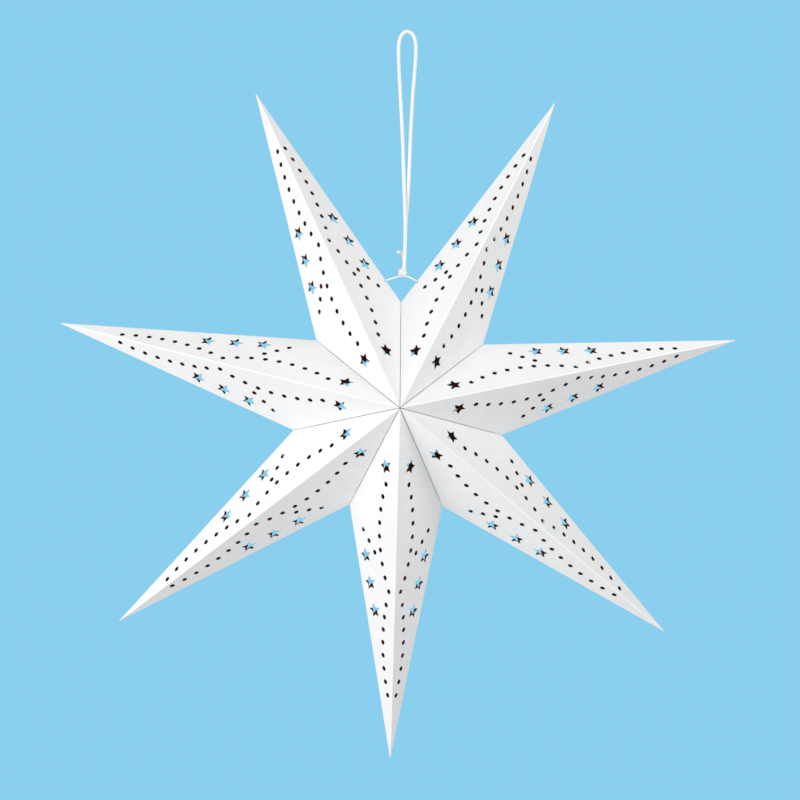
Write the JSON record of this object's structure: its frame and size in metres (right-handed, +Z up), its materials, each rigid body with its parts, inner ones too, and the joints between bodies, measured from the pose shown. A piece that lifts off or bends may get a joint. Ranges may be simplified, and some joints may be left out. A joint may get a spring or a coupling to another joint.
{
  "type": "paper snowflake star",
  "caption": "Folded card star lantern with hollow perforated arms that folds flat like a fan, hung on a knotted cord loop.",
  "frame": {"origin": "the hanging point, where a hook bears on the inside of the loop's top; the middle of the star is 328 mm below it", "axes": "+Z up along the loop, -Y towards the front peak of the star, +X to the right seen from the front"},
  "size_m": [0.585, 0.1318, 0.6312],
  "materials": {
    "card": "matt white card, scored and folded, clean punched edges",
    "cord": "soft white twisted cord",
    "tie": "thin smooth white cord"
  },
  "bodies": {
    "hanger": {"hanging_loop": "cord", "loop_knot": "cord", "tie_cord": "tie"},
    "stopper_knots": {"tie_knot_left": "tie", "tie_knot_right": "tie"},
    "arm_1": {"arm_1_front_left": "card", "arm_1_front_right": "card", "arm_1_back_left": "card", "arm_1_back_right": "card"},
    "arm_2": {"arm_2_front_left": "card", "arm_2_front_right": "card", "arm_2_back_left": "card", "arm_2_back_right": "card"},
    "arm_3": {"arm_3_front_left": "card", "arm_3_front_right": "card", "arm_3_back_left": "card", "arm_3_back_right": "card"},
    "arm_4": {"arm_4_front_left": "card", "arm_4_front_right": "card", "arm_4_back_left": "card", "arm_4_back_right": "card"},
    "arm_5": {"arm_5_front_left": "card", "arm_5_front_right": "card", "arm_5_back_left": "card", "arm_5_back_right": "card"},
    "arm_6": {"arm_6_front_left": "card", "arm_6_front_right": "card", "arm_6_back_left": "card", "arm_6_back_right": "card"},
    "arm_7": {"arm_7_front_left": "card", "arm_7_front_right": "card", "arm_7_back_left": "card", "arm_7_back_right": "card"}
  },
  "joints": [
    {"name": "star_rock", "type": "hinge", "parent": "hanger", "child": "stopper_knots", "pos_m": [0, 0, -0.2166], "axis": [1, 0, 0], "range_deg": [-20, 20]},
    {"name": "arm_1_draw", "type": "slide", "parent": "stopper_knots", "child": "arm_1", "axis": [0.901, 0, 0.4339], "range_m": [0, 0.0351], "deforming": ["arm_1_front_left", "arm_1_front_right", "arm_1_back_left", "arm_1_back_right"]},
    {"name": "arm_2_fold", "type": "hinge", "parent": "arm_1", "child": "arm_2", "pos_m": [0, 0, -0.328], "axis": [0, 1, 0], "range_deg": [0, 49.6], "deforming": ["arm_2_front_left", "arm_2_front_right", "arm_2_back_left", "arm_2_back_right"]},
    {"name": "arm_3_fold", "type": "hinge", "parent": "arm_1", "child": "arm_3", "pos_m": [0, 0, -0.328], "axis": [0, 1, 0], "range_deg": [0, 99], "deforming": ["arm_3_front_left", "arm_3_front_right", "arm_3_back_left", "arm_3_back_right"]},
    {"name": "arm_4_fold", "type": "hinge", "parent": "arm_1", "child": "arm_4", "pos_m": [0, 0, -0.328], "axis": [0, 1, 0], "range_deg": [0, 148.4], "deforming": ["arm_4_front_left", "arm_4_front_right", "arm_4_back_left", "arm_4_back_right"]},
    {"name": "arm_5_fold", "type": "hinge", "parent": "arm_1", "child": "arm_5", "pos_m": [0, 0, -0.328], "axis": [0, 1, 0], "range_deg": [0, 197.8], "deforming": ["arm_5_front_left", "arm_5_front_right", "arm_5_back_left", "arm_5_back_right"]},
    {"name": "arm_6_fold", "type": "hinge", "parent": "arm_1", "child": "arm_6", "pos_m": [0, 0, -0.328], "axis": [0, 1, 0], "range_deg": [0, 247.2], "deforming": ["arm_6_front_left", "arm_6_front_right", "arm_6_back_left", "arm_6_back_right"]},
    {"name": "arm_7_fold", "type": "hinge", "parent": "arm_1", "child": "arm_7", "pos_m": [0, 0, -0.328], "axis": [0, 1, 0], "range_deg": [0, 296.4], "deforming": ["arm_7_front_left", "arm_7_front_right", "arm_7_back_left", "arm_7_back_right"]}
  ],
  "couplings": [
    {"joint": "arm_1_draw", "follows": "arm_7_fold", "m_per_rad": 0.0067657},
    {"joint": "arm_2_fold", "follows": "arm_7_fold", "ratio": 0.16667},
    {"joint": "arm_3_fold", "follows": "arm_7_fold", "ratio": 0.33333},
    {"joint": "arm_4_fold", "follows": "arm_7_fold", "ratio": 0.5},
    {"joint": "arm_5_fold", "follows": "arm_7_fold", "ratio": 0.66667},
    {"joint": "arm_6_fold", "follows": "arm_7_fold", "ratio": 0.83333}
  ]
}
